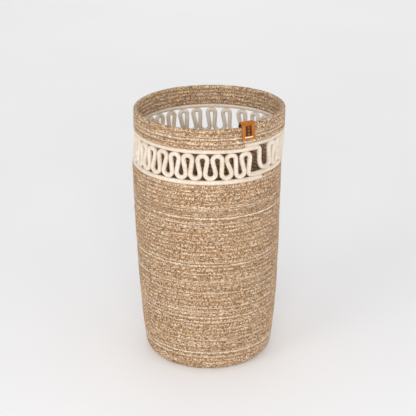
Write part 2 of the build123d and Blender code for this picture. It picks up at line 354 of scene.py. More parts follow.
def spread(start, end, count, rng):
    """Angles of count loops between two others, a little uneven."""
    return list(np.linspace(start, end, count + 2)[1:-1] + rng.normal(0, 0.3, count))


def loop_angles():
    """Angles of the top and the bottom loops, going left from the start of the wave."""
    rng = np.random.default_rng(11)
    tops = list(FRONT_TOPS)
    tops += spread(FRONT_TOPS[-1], BACK_TOPS[0], LEFT_SIDE_TOPS, rng)
    tops += BACK_TOPS
    tops += spread(BACK_TOPS[-1], LAST_TOP, RIGHT_SIDE_TOPS, rng)
    tops.append(LAST_TOP)
    bottoms = list(FRONT_BOTTOMS)
    for one, other in zip(tops[len(bottoms) - 1 :], tops[len(bottoms) :]):
        bottoms.append((one + other) / 2 - 0.5 + rng.normal(0, 0.3))
    bottoms.append(LAST_BOTTOM)
    return np.array(tops), np.array(bottoms)


def loop_sizes(places):
    """Bend radius of each loop, so that neighbours just touch."""
    gaps = np.abs(np.diff(places))
    room = np.minimum(np.append(gaps[0], gaps), np.append(gaps, gaps[-1]))
    return room / 2 - CORD_R + LOOP_PRESS


def arc(centre, radius, start, end):
    """Points on an arc between two angles in radians."""
    angle = np.linspace(start, end, max(4, int(abs(end - start) * radius / ARC_STEP)))
    return np.stack([centre[0] + radius * np.cos(angle), centre[1] + radius * np.sin(angle)], 1)


def smooth_line(points, times):
    """Rounds small kinks off a line of points, with its ends held."""
    for _ in range(times):
        points[1:-1] = (points[:-2] + 2 * points[1:-1] + points[2:]) / 4
    return points


def last_upright(foot, upright):
    """The end of the wave: along the lower ring, softly up, and left into the upper ring."""
    ring_line = WAVE_CLEAR - RING_PITCH + CORD_R - 0.1 * MM
    corners = [(foot, LOW_LINE, 0)]
    for right, up in UPRIGHT_PATH:
        corners.append((upright + right * MM, LOW_LINE + up * MM, 0))
    corners.append((upright, ring_line - UPRIGHT_BEND, 0))
    rise = smooth_line(even_points(np.array(corners), ARC_STEP)[0][:, :2], 30)
    centre = (upright - UPRIGHT_BEND, ring_line - UPRIGHT_BEND)
    return np.concatenate([rise, arc(centre, UPRIGHT_BEND, 0, np.pi / 2)])


def loop_circles(scale):
    """The loops on the unrolled wall: place, height, radius, and 1 for a top loop or -1."""
    tops, bottoms = loop_angles()
    back = (1 - np.cos(np.radians(tops))) / 2
    widest = TOP_BEND + (BACK_TOP_BEND - TOP_BEND) * back
    tops = tops * scale
    bottoms = bottoms * scale
    top_r = np.minimum(loop_sizes(tops), widest)
    bottom_r = loop_sizes(bottoms)
    circles = []
    for k, place in enumerate(bottoms):
        circles.append((place, LOW_LINE + bottom_r[k], bottom_r[k], -1))
        if k < len(tops):
            circles.append((tops[k], HIGH_LINE - top_r[k], top_r[k], 1))
    return circles


def wave_outline(scale):
    """The wave on the unrolled wall: metres round the wall, and height above its base line."""
    circles = loop_circles(scale)
    line = []
    arrive = -np.pi / 2
    for here, there in zip(circles, circles[1:]):
        gap = np.array([there[0] - here[0], there[1] - here[1]])
        lean = np.arccos(min(1, (here[2] + there[2]) / np.hypot(*gap)))
        way = np.arctan2(gap[1], gap[0])
        if here[3] < 0:
            leave = arrive - ((arrive - (way + lean)) % TAU)
        else:
            leave = arrive + (((way - lean) - arrive) % TAU)
        line.append(arc(here[:2], here[2], arrive, leave))
        arrive = leave + np.pi
    last = circles[-1]
    finish = arrive - ((arrive + np.pi / 2) % TAU)
    line.append(arc(last[:2], last[2], arrive, finish))
    line.append(last_upright(last[0], LAST_UPRIGHT * scale))
    return np.concatenate(line)


def wave_points():
    """Centre line of the wave on the basket, from the lower ring to the upper ring."""
    scale = np.radians(1) * (outer_radius(BAND_MIDDLE) - CORD_R)
    outline = wave_outline(scale)
    bearing = outline[:, 0] / scale
    turn = COIL_END_TURN + (COIL_END_ROUND - bearing) / 360
    base_line = coil_height(turn) + RING_PITCH / 2
    z = base_line + outline[:, 1]
    lean = 0.5 * MM * np.sin(bearing * 0.83) * np.sin(np.pi * outline[:, 1] / WAVE_CLEAR)
    radius = outer_radius(z) - CORD_R + lean + unevenness(bearing, z)
    return smooth_line(on_wall(bearing, radius, z), 6)


# ---- sewing thread
THREAD_R = 0.42 * MM
THREAD_TWIST = 1.3 * MM  # length of thread from one ply to the next
HALF_STITCH = 2.5 * MM  # distance along the seam from one side of the zigzag to the other
STITCH_REACH = 2.1 * MM  # how far it reaches each side of the seam
SEAM_HALF = 3.91 * MM  # half the distance between two neighbouring ropes
CROSS_LAY = 3.05 * MM  # how far out the thread lies where it crosses the seam
THREAD_PROUD = 0.10 * MM  # how far it stands off the rope at the sides of the zigzag
SINK = 0.55 * MM  # how far a tight stretch of thread is pulled in
SINK_SWINGS = (0.083, 0.217)  # metres of seam for each radian from tight to slack


def seam_thread(name, first, last, rise, side):
    """Zigzag thread along the seam between the coil at a turn and one turn further up."""
    turns = fine_turns(first, last)
    seam = (coil_points(turns, rise) + coil_points(turns + 1, rise)) / 2
    middle, along = even_points(seam, HALF_STITCH / 2)
    turn = np.interp(along, distances(seam), turns)
    low = coil_points(turn, rise)
    high = coil_points(turn + 1, rise)
    middle = (low + high) / 2
    up = unit(high - low)
    tangent = unit(np.gradient(middle, axis=0))
    out = unit(np.cross(tangent, up)) * side
    if np.sum(out[-1] * middle[-1] * (1, 1, 0)) * side < 0:
        out = -out
    rng = np.random.default_rng(int(1000 * abs(first)) + (side > 0))
    count = len(middle)
    swing = np.tile((1.0, 0.0, -1.0, 0.0), count // 4 + 1)[:count]
    reach = swing * STITCH_REACH * (1 + rng.normal(0, 0.10, count))
    depth = np.sqrt(ROPE_R**2 - (SEAM_HALF - np.abs(reach)).clip(0) ** 2)
    lay = np.where(np.abs(swing) > 0.5, depth + THREAD_PROUD, CROSS_LAY)
    quick, slow = SINK_SWINGS
    sink = np.sin(along / quick + first) + np.sin(along / slow + 2 * first) + 0.3
    lay = lay - SINK * np.clip(sink, -0.4, 1.2)
    lay = lay + rng.normal(0, 0.08, count) * MM
    path = middle + up * reach[:, None] + out * lay[:, None]
    path[:, 2] = np.maximum(path[:, 2], THREAD_R)
    radii = np.full((count, 4), THREAD_R)
    return tube_piece(name, path, radii, along, 0.0, (True, True))


# ---- shader helper
class Look:
    """A material with one Principled shader, and short calls that add nodes to it."""

    def __init__(self, name, **fixed):
        self.material = bpy.data.materials.new(name)
        self.material.use_nodes = True
        self.tree = self.material.node_tree
        self.tree.nodes.clear()
        output = self.tree.nodes.new("ShaderNodeOutputMaterial")
        self.shader = self.tree.nodes.new("ShaderNodeBsdfPrincipled")
        self.tree.links.new(self.shader.outputs["BSDF"], output.inputs["Surface"])
        for socket, value in fixed.items():
            self.shader.inputs[socket.replace("_", " ")].default_value = value

    def node(self, kind, inputs=None, **settings):
        """Adds a shader node, sets its options, and links or sets its inputs."""
        node = self.tree.nodes.new("ShaderNode" + kind)
        for option, value in settings.items():
            setattr(node, option, value)
        for socket, value in (inputs or {}).items():
            self.put(node.inputs[socket], value)
        return node

    def put(self, socket, value):
        """Links a value to a socket if it is another socket, and sets it if it is a number."""
        if isinstance(value, bpy.types.NodeSocket):
            self.tree.links.new(value, socket)
        else:
            socket.default_value = value

    def math(self, operation, a, b=0.0, clamp=False):
        """One calculation on two values."""
        node = self.node("Math", {0: a, 1: b}, operation=operation, use_clamp=clamp)
        return node.outputs[0]

    def plus(self, a, b):
        """The sum of two values."""
        return self.math("ADD", a, b)

    def minus(self, a, b, clamp=False):
        """The first value less the second."""
        return self.math("SUBTRACT", a, b, clamp)

    def times(self, a, b):
        """The product of two values."""
        return self.math("MULTIPLY", a, b)

    def between(self, share, a, b):
        """A number between a and b."""
        node = self.node("Mix", data_type="FLOAT")
        for socket, value in zip((0, 2, 3), (share, a, b)):
            self.put(node.inputs[socket], value)
        return node.outputs[0]

    def blend(self, share, a, b, kind="MIX"):
        """A colour between a and b."""
        node = self.node("Mix", data_type="RGBA", blend_type=kind)
        for socket, value in zip((0, 6, 7), (share, a, b)):
            self.put(node.inputs[socket], value)
        return node.outputs[2]

    def ramp(self, share, stops):
        """A colour looked up from stops of (place, red, green, blue)."""
        node = self.node("ValToRGB", {0: share})
        band = node.color_ramp
        while len(band.elements) < len(stops):
            band.elements.new(0.5)
        for element, (place, *colour) in zip(band.elements, stops):
            element.position = place
            element.color = rgb(*colour)
        return node.outputs[0]

    def vector(self, x, y, z=0.0):
        """A vector from three numbers."""
        return self.node("CombineXYZ", {0: x, 1: y, 2: z}).outputs[0]

    def noise(self, vector, scale, detail=2.0, roughness=0.5):
        """Smooth noise, about 0.5."""
        inputs = {"Vector": vector, "Scale": scale, "Detail": detail, "Roughness": roughness}
        return self.node("TexNoise", inputs).outputs[0]

    def scatter(self, vector):
        """A random number for each whole-number place."""
        node = self.node("TexWhiteNoise", {"Vector": vector}, noise_dimensions="3D")
        return node.outputs["Value"]

    def rope_uv(self):
        """Metres along the rope, and the share of the way round it."""
        uv = self.node("UVMap", uv_map="rope").outputs[0]
        parts = self.node("SeparateXYZ", {0: uv})
        return parts.outputs[0], parts.outputs[1]

    def object_place(self):
        """Place on the object, in metres."""
        return self.node("TexCoord").outputs["Object"]

    def bump(self, height, strength, distance, under=None):
        """A bumped normal for the shader."""
        inputs = {"Height": height, "Strength": strength, "Distance": distance}
        node = self.node("Bump", inputs)
        if under is not None:
            self.put(node.inputs["Normal"], under)
        return node.outputs[0]

    def finish(self, colour, roughness, normal):
        """Joins the results to the shader and returns the material."""
        self.put(self.shader.inputs["Base Color"], colour)
        self.put(self.shader.inputs["Roughness"], roughness)
        self.put(self.shader.inputs["Normal"], normal)
        return self.material


def rgb(red, green, blue):
    """A linear colour from screen values of 0 to 255."""
    linear = []
    for value in (red, green, blue):
        share = value / 255
        linear.append(share / 12.92 if share <= 0.04045 else ((share + 0.055) / 1.055) ** 2.4)
    return (*linear, 1.0)


SPECKS_PER_CELL = 1.4  # coloured specks along a strand for each cell of the braid
SPECK_LANES = 2.0  # and beside each other across it
LANE_STEP = 4.0  # from the lanes of one strand to those of the next
WAY_STEP = 16.0  # added to the numbers of the strands that run the other way


def strand_height(look, braid, across, ahead):
    """How high a strand stands at a place across and along its cell, from 0 to 1."""
    offset = look.minus(look.times(across, 2.0), 1.0)
    dome = look.minus(1.0, look.times(offset, offset))
    end = look.minus(look.times(ahead, 2.0), 1.0)
    taper = look.minus(1.0, look.times(braid.END_DROP, look.times(end, end)))
    return look.times(dome, taper)


def braid_cells(look, braid):
    """Which strand of a braid is on top, and where on it a point lies."""
    along, share = look.rope_uv()
    lengths = look.math("DIVIDE", along, braid.cell)
    turns = look.times(share, braid.strands)
    u = look.plus(look.plus(turns, lengths), braid.phase)
    v = look.plus(look.minus(turns, lengths), braid.phase)
    u_cell = look.math("FLOOR", u)
    v_cell = look.math("FLOOR", v)
    odd = look.math("FLOORED_MODULO", look.plus(u_cell, v_cell), 2.0)
    u_part = look.minus(u, u_cell)
    v_part = look.minus(v, v_cell)
    across = look.between(odd, v_part, u_part)
    ahead = look.between(odd, u, v)
    ahead_part = look.between(odd, u_part, v_part)
    strand = look.math("FLOORED_MODULO", look.between(odd, v_cell, u_cell), braid.strands)
    strand = look.plus(strand, look.times(odd, WAY_STEP))
    cell = look.scatter(look.vector(u_cell, v_cell, odd))
    part = look.math("FLOOR", look.times(ahead, SPECKS_PER_CELL))
    lane = look.math("FLOOR", look.times(across, SPECK_LANES))
    lane = look.plus(lane, look.times(strand, LANE_STEP))
    other = look.between(odd, u_cell, v_cell)
    speck = look.scatter(look.vector(part, lane, other))
    height = strand_height(look, braid, across, ahead_part)
    fibre = look.vector(look.times(ahead, 0.9), look.times(across, 6.0), strand)
    return {
        "cell": cell, "strand": strand, "height": height, "fibre": fibre,
        "share": share, "along": along, "odd": odd, "speck": speck,
    }


# ---- materials
SPOT_BLEND = 0.8  # how far the spots of colour cover the yarn's own
STREAK_BLEND = 0.24  # how far fine fibres tint it
SPECK_BLEND = 0.76  # how far the specks cover that
GROOVE_SHADE_BLEND = 0.5  # how dark the painted shade in the grooves between strands is, in jute and cotton


def jute_yarn(look, braid, fibres):
    """Colour of the marl: yarns, spots where strands cross, fibres and specks."""
    pick = look.scatter(look.vector(braid["strand"], 3.0, 0.0))
    yarn = look.ramp(pick, (
        (0.0, 152, 108, 64), (0.35, 196, 154, 108), (0.7, 216, 182, 142),
        (1.0, 236, 210, 176),
    ))
    spots = look.ramp(braid["cell"], (
        (0.0, 84, 50, 20), (0.14, 126, 82, 38), (0.32, 180, 134, 84),
        (0.62, 206, 168, 124), (0.80, 242, 216, 182), (1.0, 255, 246, 226),
    ))
    streak = look.ramp(fibres, (
        (0.30, 120, 80, 46), (0.5, 204, 166, 124), (0.72, 255, 238, 212),
    ))
    speck = look.ramp(braid["speck"], (
        (0.0, 34, 14, 2), (0.30, 100, 58, 18), (0.52, 188, 144, 94),
        (0.75, 238, 206, 168), (1.0, 255, 252, 240),
    ))
    mixed = look.blend(SPOT_BLEND, yarn, spots)
    mixed = look.blend(STREAK_BLEND, mixed, streak)
    return look.blend(SPECK_BLEND, mixed, speck)


def shade_grooves(look, braid, colour, shade_colour):
    """A braid's colour with painted shade that darkens the grooves between its strands."""
    groove_shade = look.math("POWER", look.minus(1.0, braid["height"]), 3.0)
    return look.blend(look.times(groove_shade, GROOVE_SHADE_BLEND), colour, shade_colour)


def clouded(look, colour, scale, dull):
    """A colour with soft dull patches."""
    cloud = look.noise(look.object_place(), scale, 2.0)
    tone = look.ramp(cloud, ((0.3, *dull), (0.7, 255, 255, 255)))
    return look.blend(1.0, colour, tone, "MULTIPLY")


def jute_material():
    """Braided marl of jute and cream cotton: coloured yarns, speckles, fibres, and painted shade in the
    grooves.
    """
    look = Look("jute_rope", Sheen_Weight=0.08, Sheen_Roughness=0.6, Specular_IOR_Level=0.12)
    braid = braid_cells(look, JUTE)
    fibres = look.noise(braid["fibre"], 3.2, 3.0, 0.65)
    cream, shade = cream_line(look, braid)
    mixed = look.blend(shade, jute_yarn(look, braid, fibres), rgb(112, 74, 38))
    mixed = look.blend(cream, mixed, rgb(255, 244, 226))
    # painted shade: the grooves between strands are darkened towards a deep brown
    dark = shade_grooves(look, braid, mixed, rgb(78, 46, 20))
    colour = clouded(look, dark, 26.0, (240, 236, 230))
    rough = look.between(braid["height"], 0.98, 0.82)
    fine = look.bump(fibres, 0.55, 0.25 * MM)
    normal = look.bump(braid["height"], 0.6, 0.35 * MM, fine)
    return look.finish(colour, rough, normal)


STRIPE_EDGE = 0.015  # soft edge of a stripe, as a share of the way round
CREAM_HALF = 0.040  # half the width of the cream yarn
SHADE_HALF = 0.03  # half the width of the dark yarn
SHADE_BESIDE = 0.12  # from the cream yarn to the dark one


def stripe(look, share, centre, half):
    """A soft stripe along the rope, centred on a share of the way round."""
    apart = look.plus(look.minus(share, centre), 0.5)
    apart = look.minus(look.math("FLOORED_MODULO", apart, 1.0), 0.5)
    return look.math("DIVIDE", look.minus(half, look.math("ABSOLUTE", apart)), STRIPE_EDGE, True)


def cream_line(look, braid):
    """A dashed cream yarn that slowly turns round the rope, and the dark yarn beside it."""
    slow = look.vector(look.times(braid["along"], 0.25), 0.0)
    centre = look.minus(look.times(look.noise(slow, 1.0, 1.0), 1.9), 0.05)
    dash = look.plus(look.times(braid["odd"], 0.6), 0.1)
    cream = look.times(stripe(look, braid["share"], centre, CREAM_HALF), dash)
    beside = look.plus(centre, SHADE_BESIDE)
    shade = look.times(stripe(look, braid["share"], beside, SHADE_HALF), 0.5)
    return cream, shade


def cotton_material():
    """Cream cotton cord with a fine even braid and painted shade in its grooves."""
    look = Look("cotton_cord", Sheen_Weight=0.15, Sheen_Roughness=0.5, Specular_IOR_Level=0.2)
    braid = braid_cells(look, COTTON)
    fibres = look.noise(braid["fibre"], 3.0, 3.0, 0.6)
    base = look.ramp(braid["cell"], (
        (0.0, 218, 205, 189), (0.5, 230, 219, 207), (1.0, 238, 229, 220),
    ))
    streak = look.ramp(fibres, ((0.3, 206, 190, 168), (0.7, 240, 232, 220)))
    mixed = look.blend(0.35, base, streak)
    # painted shade: the grooves between strands are darkened towards a warm brown
    dark = shade_grooves(look, braid, mixed, rgb(150, 116, 78))
    colour = clouded(look, dark, 34.0, (244, 238, 228))
    rough = look.between(braid["height"], 0.95, 0.8)
    fine = look.bump(fibres, 0.4, 0.2 * MM)
    normal = look.bump(braid["height"], 0.5, 0.25 * MM, fine)
    return look.finish(colour, rough, normal)


def thread_material(name, light, dark):
    """Twisted sewing thread: slanting plies with painted shade between them, and small random changes
    of tone.
    """
    look = Look(name, Sheen_Weight=0.1, Specular_IOR_Level=0.3)
    along, share = look.rope_uv()
    twist = look.plus(look.math("DIVIDE", along, THREAD_TWIST), look.times(share, 2.0))
    ply = look.math("SINE", look.times(twist, TAU))
    ply = look.plus(look.times(ply, 0.5), 0.5)
    shade = look.noise(look.object_place(), 240.0, 2.0)
    # painted shade: the troughs between the plies take the dark colour, the crests the light one
    colour = look.blend(look.times(look.plus(ply, shade), 0.5), dark, light)
    rough = look.between(shade, 0.55, 0.8)
    return look.finish(colour, rough, look.bump(ply, 0.5, 0.1 * MM))


def leather_material():
    """Tan leather: mottled dye, pores and creases, redder and darker where it is bent."""
    look = Look("tan_leather", Specular_IOR_Level=0.35, Coat_Weight=0.04)
    place = look.object_place()
    cloud = look.noise(place, 170.0, 4.0, 0.6)
    colour = look.ramp(cloud, (
        (0.25, 138, 72, 4), (0.5, 174, 100, 6), (0.75, 200, 128, 16),
    ))
    pores = look.node("TexVoronoi", {"Vector": place, "Scale": 1500.0}).outputs[0]
    speck = look.times(look.minus(1.0, pores, True), 0.22)
    colour = look.blend(speck, colour, rgb(142, 72, 16))
    height = look.node("SeparateXYZ", {0: place}).outputs[2]
    bend = look.math("ABSOLUTE", look.minus(height, LABEL_TOP - FOLD_BAND_DROP))
    bend = look.minus(1.0, look.math("DIVIDE", bend, FOLD_BAND_HALF), True)
    colour = look.blend(look.times(bend, 0.6), colour, rgb(146, 60, 16))
    rough = look.between(cloud, 0.45, 0.65)
    fine = look.bump(pores, 0.35, 0.12 * MM)
    crease = look.noise(place, 420.0, 3.0)
    return look.finish(colour, rough, look.bump(crease, 0.3, 0.2 * MM, fine))


def lining_material():
    """Dark navy felt on the inner side of the label."""
    look = Look("dark_lining", Sheen_Weight=0.2, Specular_IOR_Level=0.2)
    fuzz = look.noise(look.object_place(), 1800.0, 4.0, 0.7)
    colour = look.ramp(fuzz, ((0.3, 18, 20, 34), (0.7, 48, 52, 74)))
    return look.finish(colour, look.between(fuzz, 0.85, 1.0), look.bump(fuzz, 0.5, 0.15 * MM))


def burnt_material():
    """Leather darkened by a hot stamp."""
    look = Look("burnt_leather", Specular_IOR_Level=0.3)
    place = look.object_place()
    cloud = look.noise(place, 420.0, 4.0, 0.6)
    colour = look.ramp(cloud, ((0.3, 44, 22, 8), (0.55, 74, 38, 14), (0.8, 112, 62, 24)))
    return look.finish(colour, look.between(cloud, 0.6, 0.8), look.bump(cloud, 0.4, 0.12 * MM))


def floor_material():
    """Pale matt studio floor with barely visible mottling."""
    look = Look("studio_floor", Specular_IOR_Level=0.1)
    cloud = look.noise(look.object_place(), 1.5, 2.0)
    colour = look.ramp(cloud, ((0.3, 247, 247, 248), (0.7, 250, 250, 251)))
    return look.finish(colour, look.between(cloud, 0.85, 0.95), look.bump(cloud, 0.1, 1 * MM))


# ---- leather label
LABEL_ROUND = 30.0  # angle of the label from the front
LABEL_WIDTH = 26.0 * MM
LABEL_TOP = 503.6 * MM  # top of the fold
FRONT_LENGTH = 33.6 * MM  # front leaf, from the top of the fold down
BACK_LENGTH = 29.0 * MM
LEATHER = 1.6 * MM
LINING = 0.5 * MM
LABEL_LEAN = 0.075  # how far the label leans sideways for its height
MARK_SIZE = (13.6 * MM, 20.4 * MM)
MARK_MIDDLE = 486.8 * MM  # height of the middle of the pressed panel
MARK_DEPTH = 0.3 * MM
LOZENGE = 2.6 * MM  # half the diagonal of one lozenge
LOZENGE_STEP = 6.4 * MM  # height from one lozenge to the next
FOLD_BEND = 2.2 * MM  # inner radius of the fold at the top of the label
FOLD_START = 494.5 * MM  # height where the leaves start to lean together
BAR_HALF = 8.0 * MM  # half the length of a bar stitch
BAR_HEIGHT = 475.2 * MM  # height of the front bar stitch
LABEL_CENTRE = LABEL_TOP - FRONT_LENGTH / 2
OUTER_BEND = LINING + LEATHER / 2
FOLD_STEPS = 150  # steps along the folded sheets
FRONT_GAP = 0.9 * MM  # from the rim out to the front leaf
BACK_GAP = 1.4 * MM  # and in to the back leaf
RIM_MIDDLE = 480.0 * MM  # about the height of the middle of the rim
CURL_DROP = 12.0 * MM  # from the top of the fold down to where the leaves curl
CURL_FADE = 26.0 * MM  # height over which the curl grows
RIPPLE = 0.5 * MM  # ripple down the front leaf
RIPPLE_SWING = 9.0 * MM  # height of one radian of it
CUP = 1.1 * MM  # how far the side edges of the front leaf bend in
BACK_CUP = -0.6  # the same for the back leaf, as a share of that
MARK_EDGE = 0.5 * MM  # soft edge of the pressed hollow
MARK_MARGIN = 0.35 * MM  # from the hollow's edge in to the burnt panel
MARK_CORNER = 1.0 * MM
MARK_SHEET = 0.15 * MM  # thickness of the burnt panel
MARK_LIFT = 0.07 * MM  # how far its middle lies above the hollow
BAR_SHIFTS = (-0.45 * MM, 0.45 * MM)  # the two threads of a bar, below and above its middle
BAR_THREAD_R = 0.55 * MM
BACK_BAR_RISE = 4.0 * MM  # how much higher the back bar stitch is
FOLD_BAND_DROP = 4.2 * MM  # from the top of the fold down to its reddest line
FOLD_BAND_HALF = 1.6 * MM  # half the width of that line


def label_place(across, out, z):
    """Points of the label: along the rim, away from the basket's axis, and height."""
    phi = np.radians(LABEL_ROUND - 90)
    way = np.array([np.cos(phi), np.sin(phi), 0])
    beside = np.array([-way[1], way[0], 0])
    across = across - LABEL_LEAN * (z - LABEL_CENTRE)
    out = out + LEAN_SHIFTS[-1] * np.sin(np.radians(LABEL_ROUND))
    flat = out[..., None] * way + across[..., None] * beside
    return flat + np.stack([0 * z, 0 * z, z], axis=-1)


def fold_profile(bend):
    """Section of the folded sheet's middle surface: distance out and height."""
    front = outer_radius(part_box("rim_coil")[1].z) + FRONT_GAP
    back = outer_radius(RIM_MIDDLE) - 2 * ROPE_R - BACK_GAP
    centre = (front + back) / 2
    fold_z = LABEL_TOP - FOLD_BEND - LINING - LEATHER
    rise = np.linspace(0, 1, 40)
    lean = rise * rise * (3 - 2 * rise)
    half = (front - back) / 2 + (FOLD_BEND - (front - back) / 2) * lean + bend
    height = FOLD_START + (fold_z - FOLD_START) * rise
    angle = np.linspace(0, np.pi, 25)[1:-1]
    turn = FOLD_BEND + bend
    bow = np.stack([centre + turn * np.cos(angle), fold_z + turn * np.sin(angle)], 1)
    line = np.concatenate([
        [(front + bend, LABEL_TOP - FRONT_LENGTH)],
        np.stack([centre + half, height], 1),
        bow,
        np.stack([centre - half, height], 1)[::-1],
        [(back - bend, LABEL_TOP - BACK_LENGTH)],
    ])
    line = np.column_stack([line, np.zeros(len(line))])
    return even_points(line, distances(line)[-1] / FOLD_STEPS)[0][:, :2]


def in_mark(across, z):
    """Distance inside the edge of the pressed panel; negative outside it."""
    wide = MARK_SIZE[0] / 2 - np.abs(across)
    tall = MARK_SIZE[1] / 2 - np.abs(z - MARK_MIDDLE)
    return np.minimum(wide, tall)


def leaf_curl(across, z, front=True):
    """How far a leaf of the label stands off its flat place: a ripple and bent side edges."""
    lower = np.clip((LABEL_TOP - CURL_DROP - z) / CURL_FADE, 0, 1)
    ripple = RIPPLE * lower * np.sin(z / RIPPLE_SWING + 1) * np.where(front, 1, 0)
    edges = CUP * (2 * across / LABEL_WIDTH) ** 2 * np.where(front, 1, BACK_CUP)
    return ripple - edges * lower


def grid_faces(row, column, columns):
    """Vertex numbers of the faces that start at a row and column of a grid."""
    first = row * columns + column
    return np.stack([first, first + 1, first + columns + 1, first + columns], -1).reshape(-1, 4)


def thicken(piece, thickness):
    """Gives a sheet its thickness, half to each side."""
    solid = piece.modifiers.new("thickness", "SOLIDIFY")
    solid.thickness = thickness
    solid.offset = 0.0


def sheet_grid(name, bend, thickness, pressed):
    """A folded sheet as a grid, with its thickness and rounded edges."""
    profile = fold_profile(bend)
    across = np.linspace(-0.5, 0.5, 45) * LABEL_WIDTH
    wide, z = np.meshgrid(across, profile[:, 1])
    out = profile[:, :1] + 0 * wide
    front = out > profile[:, 0].mean()
    curl = leaf_curl(wide, z, front)
    if pressed:
        curl = curl - np.where(front, MARK_DEPTH, 0) * np.clip(in_mark(wide, z) / MARK_EDGE, 0, 1)
    points = label_place(wide, out + curl, z).reshape(-1, 3)
    rows, columns = z.shape
    quads = grid_faces(np.arange(rows - 1)[:, None], np.arange(columns - 1)[None], columns)
    piece = mesh_piece(name, points, quads, {"rope": np.zeros((len(quads), 4, 2))})
    thicken(piece, thickness)
    bevel = piece.modifiers.new("edges", "BEVEL")
    bevel.width = thickness * 0.28
    bevel.segments = 3
    bevel.limit_method = "ANGLE"
    bevel.angle_limit = np.radians(60)
    return apply_modifiers(piece)


def apply_modifiers(piece):
    """Bakes a piece's modifiers into its mesh."""
    bpy.context.view_layer.update()
    graph = bpy.context.evaluated_depsgraph_get()
    mesh = bpy.data.meshes.new_from_object(piece.evaluated_get(graph))
    piece.modifiers.clear()
    old = piece.data
    piece.data = mesh
    bpy.data.meshes.remove(old)
    return piece


def front_face(across, z, lift):
    """Points that lie on the front leaf, lifted off it."""
    out = fold_profile(OUTER_BEND)[0, 0] + LEATHER / 2
    return label_place(across, out + leaf_curl(across, z) + lift, z)


def mark_cells(across, height):
    """Rows and columns of the panel's cells, without its round corners and the lozenges."""
    middle_w = (across[1:] + across[:-1]) / 2
    middle_h = (height[1:] + height[:-1]) / 2
    wide, tall = np.meshgrid(middle_w, middle_h)
    past_w = (np.abs(wide) - across[-1] + MARK_CORNER).clip(0)
    past_h = (np.abs(tall) - height[-1] + MARK_CORNER).clip(0)
    keep = np.hypot(past_w, past_h) < MARK_CORNER
    for spot in (-1, 0, 1):
        inside = np.abs(wide) + np.abs(tall - spot * LOZENGE_STEP)
        keep &= ~((inside < LOZENGE) & (inside > LOZENGE * 0.45))
    return np.nonzero(keep)


def pressed_mark(name):
    """The dark pressed panel with three lozenges left clear."""
    half_w = MARK_SIZE[0] / 2 - MARK_MARGIN
    half_h = MARK_SIZE[1] / 2 - MARK_MARGIN
    across = np.linspace(-half_w, half_w, 41)
    height = np.linspace(-half_h, half_h, 75)
    wide, tall = np.meshgrid(across, height)
    points = front_face(wide, MARK_MIDDLE + tall, MARK_LIFT - MARK_DEPTH).reshape(-1, 3)
    row, column = mark_cells(across, height)
    quads = grid_faces(row, column, len(across))
    used, index = np.unique(quads, return_inverse=True)
    quads = index.reshape(-1, 4)
    piece = mesh_piece(name, points[used], quads, {"rope": np.zeros((len(quads), 4, 2))})
    thicken(piece, MARK_SHEET)
    return apply_modifiers(piece)


def bar_stitch(name, front):
    """A bar of two threads that dive into the leather at both ends."""
    share = np.linspace(-1, 1, 61)
    pieces = []
    for k, shift in enumerate(BAR_SHIFTS):
        across = share * BAR_HALF
        dive = np.clip((np.abs(share) - 0.93) / 0.07, 0, 1) ** 2
        lift = 0.30 * MM + 0.1 * MM * np.sin(9 * share + k) - 1.4 * MM * dive
        z = BAR_HEIGHT + shift + 0.12 * MM * np.sin(7 * share + 2 * k)
        if front:
            path = front_face(across, z, lift)
        else:
            out = fold_profile(OUTER_BEND)[-1, 0] - LEATHER / 2
            bend = 0.66 * MM * (share * 0.62) ** 2
            path = label_place(across, out + bend - lift, z + BACK_BAR_RISE)
        even, along = even_points(path, 0.35 * MM)
        plies = 1 + 0.06 * np.sin(along / (0.25 * MM))
        radii = np.full((len(even), 10), BAR_THREAD_R) * plies[:, None]
        pieces.append(tube_piece(f"{name}_{k + 1}", even, radii, along, 0.0, (True, True)))
    return pieces


# ---- putting it together
def finish_piece(piece, material, slot, *nodes):
    """Gives a piece its material and its body, and hides the CAD nodes it stands for; slot is not used.
    """
    piece.data.materials.clear()
    piece.data.materials.append(material)
    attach(piece, "root")
    if nodes:
        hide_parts(*nodes)


WALL_CUTS = (0, 5.4, 10.7, 16.4, 22.4, 27.4, 32.4, 38.4, 44.4, COIL_END_TURN)
WALL_NODES = ("wall_coil_lower", "wall_coil_middle", "wall_coil_upper")
BASE_LENGTH = 5.5  # metres of rope in the base, about
TURN_LENGTH = 0.87  # metres of rope in one turn of the wall, about


def make_jute(material):
    """Base, wall and rim of jute rope. The wall is in stretches, three for each CAD node."""
    base = coil_points(fine_turns(BASE_START, 0))
    piece = braided_piece("base_rope", base, PLUMP_R, JUTE, 0.0, 0.0, (True, False))
    flatten_on(piece, 0.0)
    finish_piece(piece, material, "jute_rope", "base_coil")
    for k, (first, last) in enumerate(zip(WALL_CUTS, WALL_CUTS[1:])):
        line = coil_points(fine_turns(first, last))
        caps = (False, last == COIL_END_TURN)
        start = round((BASE_LENGTH + first * TURN_LENGTH) / JUTE.cell) * JUTE.cell
        name = f"wall_rope_{k + 1}"
        piece = braided_piece(name, line, PLUMP_R, JUTE, start, np.pi / 2, caps)
        flatten_on(piece, 0.0)
        finish_piece(piece, material, "jute_rope", WALL_NODES[k // 3])
    rim = coil_points(fine_turns(RIM_START_TURN, RIM_END_TURN), BAND_RISE)
    piece = braided_piece("rim_rope", rim, PLUMP_R, JUTE, 0.0, np.pi / 2, (True, True))
    finish_piece(piece, material, "jute_rope", "rim_coil")


LEAD_POINTS = 40  # points on the way from the lower ring into the wave
EASE_RATE = 40.0  # how fast the upper ring leaves the end of the wave


